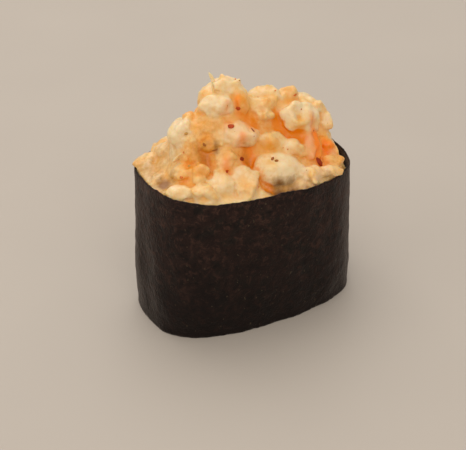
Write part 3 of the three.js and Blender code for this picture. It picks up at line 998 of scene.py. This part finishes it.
def add_rice_grains(material):
    """Two layers of grains at the foot, where the strip is open."""
    grain_points, grain_faces = ball(3)
    parts = []
    for layer, total in ((0, GRAINS), (1, 2 * GRAINS)):
        for i in range(total):
            spread = math.sqrt((i + 0.5) / total)
            angle = i * GOLDEN_ANGLE + 0.4 * layer
            edge = oval_points(np.float64(angle))
            length = GRAIN_LENGTH * (0.85 + 0.25 * draw(i + 900 * layer))
            width = GRAIN_WIDTH * (0.88 + 0.2 * draw(i + 300 + 900 * layer))
            keep = spread * (1 - 0.5 * length / np.linalg.norm(edge) - 0.11 + 0.02 * layer)
            local = grain_points * (length / 2, width / 2, width / 2)
            local[:, 1] += 0.35 * (1 - (local[:, 0] / (length / 2)) ** 2)
            tip = (draw(i + 100) - 0.5) * 0.4
            local = local @ turned(tip, draw(i + 200 + 37 * layer) * math.pi).T
            lowest = 0.15 + 0.5 * draw(i + 400) + 0.8 * layer
            local += (edge[0] * keep, edge[1] * keep, lowest - local[:, 2].min())
            parts.append((local, grain_faces))
    return joined("rice_grains", parts, material)


# The grid that the heap is worked out on, and how much its skin is blurred
PITCH = 0.3
HEAP_LOW = (-26.5, -16.5, 21.6)
HEAP_HIGH = (26.5, 17.4, 57.2)
BLUR = 0.16


def heap_field():
    """The heap as distances: sauce, chunks and crumbs, cut clear of the strip."""
    field = Field(HEAP_LOW, HEAP_HIGH, PITCH)
    points = field.points
    wall = wall_distance(points).astype(np.float32)
    add_core(field, wall)
    warp = np.stack([0.52 * value_noise(points, 2.3, seed) for seed in (41, 42, 43)], -1)
    warp += np.stack([0.24 * value_noise(points, 0.9, seed) for seed in (44, 45, 46)], -1)
    add_chunks(field, warp)
    for crumbs in CRUMBS:
        add_crumbs(field, warp, *crumbs)
    field.value = blurred(field.value, BLUR / field.pitch)
    clear_strip(field, wall)
    return field


def add_core(field, wall):
    """The sauce that the chunks sit in, with its hollows."""
    points = field.points
    x, y, z = (points[..., k] for k in range(3))
    top = heap_height(x, y)
    slope_x, slope_y, _ = np.gradient(top, field.pitch)
    steep = np.sqrt(1 + np.clip(slope_x**2 + slope_y**2, 0, 9))
    sink = 0.4 + 3.0 * smooth((x + 0.6 * y - 10) / 9) * rim_share(x, y) ** 4
    for dip_x, dip_y, reach, depth in CORE_DIPS:
        sink = sink + depth * np.exp(-((x - dip_x) ** 2 + (y - dip_y) ** 2) / reach**2)
    core = (z - top + sink) / steep
    core = core + 0.35 * value_noise(points, 2.2, 31) + 0.15 * value_noise(points, 1.0, 32)
    core = np.maximum(np.maximum(core, wall + 0.55), HEAP_FOOT - z)
    core_tone = 0.45 - 0.35 * spots(points, CREAM_SPOTS)
    field.join(slice(None), core.astype(np.float32), 0.4, core_tone.astype(np.float32), 0.0)


def add_chunks(field, warp):
    """The chunks of the heap, warped so that no outline is even."""
    for i, row in enumerate(FRONT_CHUNKS + back_chunks()):
        centre, axes, size = chunk_frame(row)
        footprint = row[2] * row[3]
        rough, sides = (0.5, 22) if footprint > SLAB else (1.0, 14)
        where = field.region(centre, 1.25 * size.max() + 2.0)
        local = (field.points[where] + rough * warp[where] - centre + 1e-4) @ axes
        distance = chunk_distance(local.astype(np.float32), size, 100 + i, rough, 12.0, sides)
        distance = distance + 0.16 * rough * value_noise(local * (0.35, 1.0, 1.0), 0.8, 200 + i)
        if row[10]:
            hollow = np.linalg.norm(local - size * DIMPLE, axis=-1) - row[10]
            distance = -soft_least(-distance, hollow, 0.9)
        blend = CRISP_JOIN if footprint > LARGE_CHUNK else SOFT_JOIN
        field.join(where, distance, blend, row[8], row[9])


def clear_strip(field, wall):
    """Cuts the heap back from the strip, except where it spills on the rim at the front left."""
    x, y, z = (field.points[..., k] for k in range(3))
    spill = 0.9 * np.exp(-(((x + 14.5) / 3.5) ** 2)) * (y < 0)
    rim = rim_height(x) + 0.25 - spill
    clear = np.maximum(z - rim, -(wall + 0.42))
    field.value = np.maximum(field.value, -clear)


def add_crumbs(field, warp, count, smallest, largest, sink, seed):
    """Crumbs of seafood between and on the chunks, sunk by a share of their size at most."""
    rng = np.random.RandomState(seed)
    angle = rng.uniform(0, 2 * math.pi, count)
    spread = np.sqrt(rng.uniform(0, 0.94, count))
    edge = oval_points(angle)
    place, facing = field.surface(edge[:, 0] * spread * HEAP_LENGTH, edge[:, 1] * spread)
    sizes = rng.uniform(smallest, largest, count)
    tones = np.maximum(rng.uniform(0.0, 0.8, count), 1.1 * spots(place, SAUCE_AND_SHADE_POOLS))
    for i in range(count):
        x, y, _ = place[i]
        if any(math.hypot(x - bare[0], y - bare[1]) < bare[2] for bare in BARE_SPOTS):
            continue
        size = sizes[i] * np.array([1.0, rng.uniform(0.5, 0.9), rng.uniform(0.35, 0.7)])
        centre = place[i] - facing[i] * rng.uniform(sink - 0.4, sink) * sizes[i]
        where = field.region(centre, 1.2 * sizes[i] + 1.2)
        turn, _ = np.linalg.qr(rng.normal(size=(3, 3)))
        local = (field.points[where] + warp[where] * 0.6 - centre + 1e-4) @ turn
        distance = chunk_distance(local.astype(np.float32), size, 900 + i, 1.0, 6.0, 10)
        field.join(where, distance, 0.4, tones[i], 0.0)


def add_topping(field, material):
    """The heap's skin, with its tone, its creases, its sauce and its painted shade as attributes.
    """
    grid = openvdb.FloatGrid(FAR)
    edged = np.pad(field.value, 1, constant_values=FAR)
    grid.copyFromArray(edged)
    points, _, faces = grid.convertToPolygons(isovalue=0.0, adaptivity=0.0)
    points = (np.asarray(points, float) - 1) * field.pitch + field.low
    faces = np.asarray(faces, np.int64)
    points, faces = largest_part(points, faces)
    a, b, c = points[faces[:, 0]], points[faces[:, 1]], points[faces[:, 2]]
    if np.einsum("ij,ij->", a, np.cross(b, c)) < 0:
        faces = faces[:, ::-1]
    topping = add_mesh("topping_heap", points, faces, material)
    near = np.clip(field.value, -2.5, 2.5)
    pit = -field.sample(blurred(near, 0.9 / field.pitch), points) / 0.30
    add_attribute(topping, "pit", pit)
    weight = field.sample(field.weight, points)
    tone = field.sample(field.tone, points) / weight
    add_attribute(topping, "tone", tone + spots(points, TONE_SPOTS))
    add_attribute(topping, "pink", field.sample(field.pink, points) / weight)
    low = near_core(points)
    # Sauce pools, their deep orange in the front creases partly painted shade.
    add_attribute(topping, "sauce", low * spots(points, SAUCE_AND_SHADE_POOLS))
    # Painted shade: a darker brown in the shadowed hollows.
    add_attribute(topping, "brown_shade", low * spots(points, SHADE_BROWN_SPOTS))
    stains = [(row[0], row[1], 1.5 * row[2], 0.6) for row in FLECKS if row[5] < 2]
    add_attribute(topping, "stain", spots(points, stains + STREAKS))
    return topping


def near_core(points):
    """How close points are to the heap's bare surface, 0 on what stands out from it."""
    x, y, z = points.T
    out = (z - heap_height(x, y)) * heap_facing(x, y)[:, 2]
    return smooth((2.0 - out) / 1.2)


def spots(points, rows):
    """Soft round spots on the heap seen from above: place, reach and strength."""
    total = np.zeros(points.shape[:-1])
    for x, y, reach, strength in rows:
        away = np.hypot(points[..., 0] - x, points[..., 1] - y)
        total = np.maximum(total, strength * np.exp(-((away / reach) ** 2)))
    return total


def fleck_rows():
    """The flecks of the photo, those of the unseen side and the tiny ones."""
    rows = list(FLECKS)
    for i in range(BACK_FLECKS):
        angle = math.pi * (0.15 + 0.50 * draw(i + 500))
        edge = oval_points(np.float64(angle))
        spread = 0.25 + 0.55 * draw(i + 600)
        size = 0.4 + 0.4 * draw(i + 700)
        rows.append((edge[0] * spread, edge[1] * spread, size, 0.65 * size, 360 * draw(i), i % 3))
    for i in range(SMALL_FLECKS):
        edge = oval_points(np.float64(2 * math.pi * draw(i + 800)))
        spread = math.sqrt(draw(i + 1000)) * 0.9
        kind = (0, 3, 3, 4, 4)[int(5 * draw(i + 1200))]
        size = 0.13 + 0.17 * draw(i + 1100)
        place = (edge[0] * spread * HEAP_LENGTH, edge[1] * spread)
        rows.append((*place, size, 0.65 * size, 360 * draw(i + 1300), kind))
    return rows


def add_flecks(field, material):
    """Chilli flakes half sunk in the sauce, and two dark slivers among them that are painted shadow
    lines.
    """
    rows = fleck_rows()
    places, _ = field.surface(np.array([r[0] for r in rows]), np.array([r[1] for r in rows]))
    facings = field.normal(places)
    unit, faces = ball(2)
    parts, paints = [], []
    for i, (_, _, long, wide, turn, kind) in enumerate(rows):
        thick = min(0.26, 0.6 * wide)
        heading = np.array([math.cos(math.radians(turn)), math.sin(math.radians(turn)), 0])
        along = heading - facings[i] * heading.dot(facings[i])
        along /= np.linalg.norm(along)
        axes = np.stack([along, np.cross(facings[i], along), facings[i]])
        uneven = 1 + 0.40 * value_noise(unit * 3 + 7 * i, 1.7, 61)
        local = unit * uneven[:, None] * (long, wide, thick)
        parts.append((local @ axes + places[i] - facings[i] * 0.1 * thick, faces))
        paints.append(np.tile((*FLECK_COLOURS[kind], 1.0), (len(unit), 1)))
    flecks = joined("flecks_and_shadow_lines", parts, material)
    paint = flecks.data.attributes.new("paint", "FLOAT_COLOR", "POINT")
    paint.data.foreach_set("color", np.concatenate(paints).astype(np.float32).ravel())
    return flecks


# Shreds: foot, bend and tip in millimetres, and half width at the foot
SHREDS = [
    ((-6.1, 2.2, 50.2), (-6.4, 2.3, 53.2), (-7.5, 2.8, 55.1), 0.95),
    ((-17.7, -0.8, 38.7), (-17.2, -1.7, 40.4), (-16.7, -2.3, 41.0), 0.50),
]
SHRED_TONE = 0.22


def shred(foot, bend, tip, width):
    """Points and faces of a thin curved strand that tapers to its tip."""
    sides, steps = 8, 14
    foot, bend, tip = (np.array(p, float) for p in (foot, bend, tip))
    t = np.linspace(0, 1, steps)[:, None]
    spine = foot * (1 - t) ** 2 + 2 * bend * t * (1 - t) + tip * t**2
    ahead = np.gradient(spine, axis=0)
    ahead /= np.linalg.norm(ahead, axis=1, keepdims=True)
    side = np.cross(ahead, (0.3, -0.9, 0.2))
    side /= np.linalg.norm(side, axis=1, keepdims=True)
    other = 0.6 * np.cross(ahead, side)
    radius = width * (1 - 0.85 * t**1.5) * (1 + 0.15 * np.sin(9 * t))
    angle = (np.arange(sides) * 2 * math.pi / sides)[None, :, None]
    ring = side[:, None] * np.cos(angle) + other[:, None] * np.sin(angle)
    points = (spine[:, None] + ring * radius[:, None]).reshape(-1, 3)
    points = np.concatenate([points, spine[:1], spine[-1:]])
    faces = []
    last = (steps - 1) * sides
    for j in range(sides):
        k = (j + 1) % sides
        for low in range(0, last, sides):
            high = low + sides
            faces.append([low + j, low + k, high + k])
            faces.append([low + j, high + k, high + j])
        faces.append([len(points) - 2, k, j])
        faces.append([len(points) - 1, last + j, last + k])
    return points, np.array(faces)


def add_shreds(material):
    """Thin shreds of seafood: one stands up from the top, and one lies on the left slope."""
    shreds = joined("shreds", [shred(*row) for row in SHREDS], material)
    add_attribute(shreds, "tone", np.full(len(shreds.data.vertices), SHRED_TONE))
    return shreds


# Stage: floor, lights, camera

CAMERA_PLACE = (-113.06, -208.22, 164.21)
CAMERA_LOOK = (0.39570, 0.75245, -0.52654)
CAMERA_ROLL = math.radians(-0.4)
CAMERA_LENS = 96.7
SENSOR = 36.0

# Lights: name, place in metres, power in watts, size in metres and colour
LIGHTS = [
    ("window", (0.05, 0.32, 0.64), 1.85, 0.60, (1.0, 0.99, 0.975)),
    ("front_fill", (-0.32, -0.75, 0.75), 3.5, 0.9, (1.0, 0.975, 0.945)),
    ("left_fill", (-0.80, 0.05, 0.40), 1.0, 0.6, (1.0, 0.975, 0.945)),
]
LIGHT_TARGET = (0, 0, 0.02)
SKY = (1.0, 0.965, 0.925, 1)
SKY_STRENGTH = 0.58
FLOOR_REACH = 3000


def add_camera():
    """The photograph's view, from the front left and above."""
    data = bpy.data.cameras.new("camera")
    data.lens = CAMERA_LENS
    data.sensor_width = SENSOR
    data.clip_start = 0.01
    camera = bpy.data.objects.new("camera", data)
    bpy.context.scene.collection.objects.link(camera)
    turn = Vector(CAMERA_LOOK).to_track_quat("-Z", "Y").to_matrix().to_4x4()
    roll = Matrix.Rotation(CAMERA_ROLL, 4, "Z")
    camera.matrix_world = Matrix.Translation(Vector(CAMERA_PLACE) * MM) @ turn @ roll
    bpy.context.scene.camera = camera


def add_area_light(name, place, power, size, colour):
    data = bpy.data.lights.new(name, "AREA")
    data.energy = power
    data.size = size
    data.color = colour
    light = bpy.data.objects.new(name, data)
    light.location = place
    aim = Vector(LIGHT_TARGET) - Vector(place)
    light.rotation_euler = aim.to_track_quat("-Z", "Y").to_euler()
    bpy.context.scene.collection.objects.link(light)


def add_stage():
    signs = ((-1, -1), (1, -1), (1, 1), (-1, 1))
    corners = [(x * FLOOR_REACH, y * FLOOR_REACH, 0) for x, y in signs]
    floor = add_mesh("floor", corners, [(0, 1, 2, 3)], floor_material())
    for light in LIGHTS:
        add_area_light(*light)
    world = bpy.data.worlds.new("studio")
    world.use_nodes = True
    background = world.node_tree.nodes["Background"]
    background.inputs["Color"].default_value = SKY
    background.inputs["Strength"].default_value = SKY_STRENGTH
    bpy.context.scene.world = world
    bpy.context.scene.view_settings.view_transform = "Standard"


def dress(piece, node):
    """Ties a piece to the part: it rides along and stands for a node."""
    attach(piece, "root")
    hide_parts(node)


def build():
    add_stage()
    add_camera()
    dress(add_nori(nori_material()), "nori")
    rice = rice_material()
    dress(add_rice_block(rice), "rice")
    dress(add_rice_grains(rice), "rice")
    field = heap_field()
    topping = topping_material()
    dress(add_topping(field, topping), "topping")
    dress(add_shreds(topping), "topping")
    dress(add_flecks(field, fleck_material()), "topping")


build()
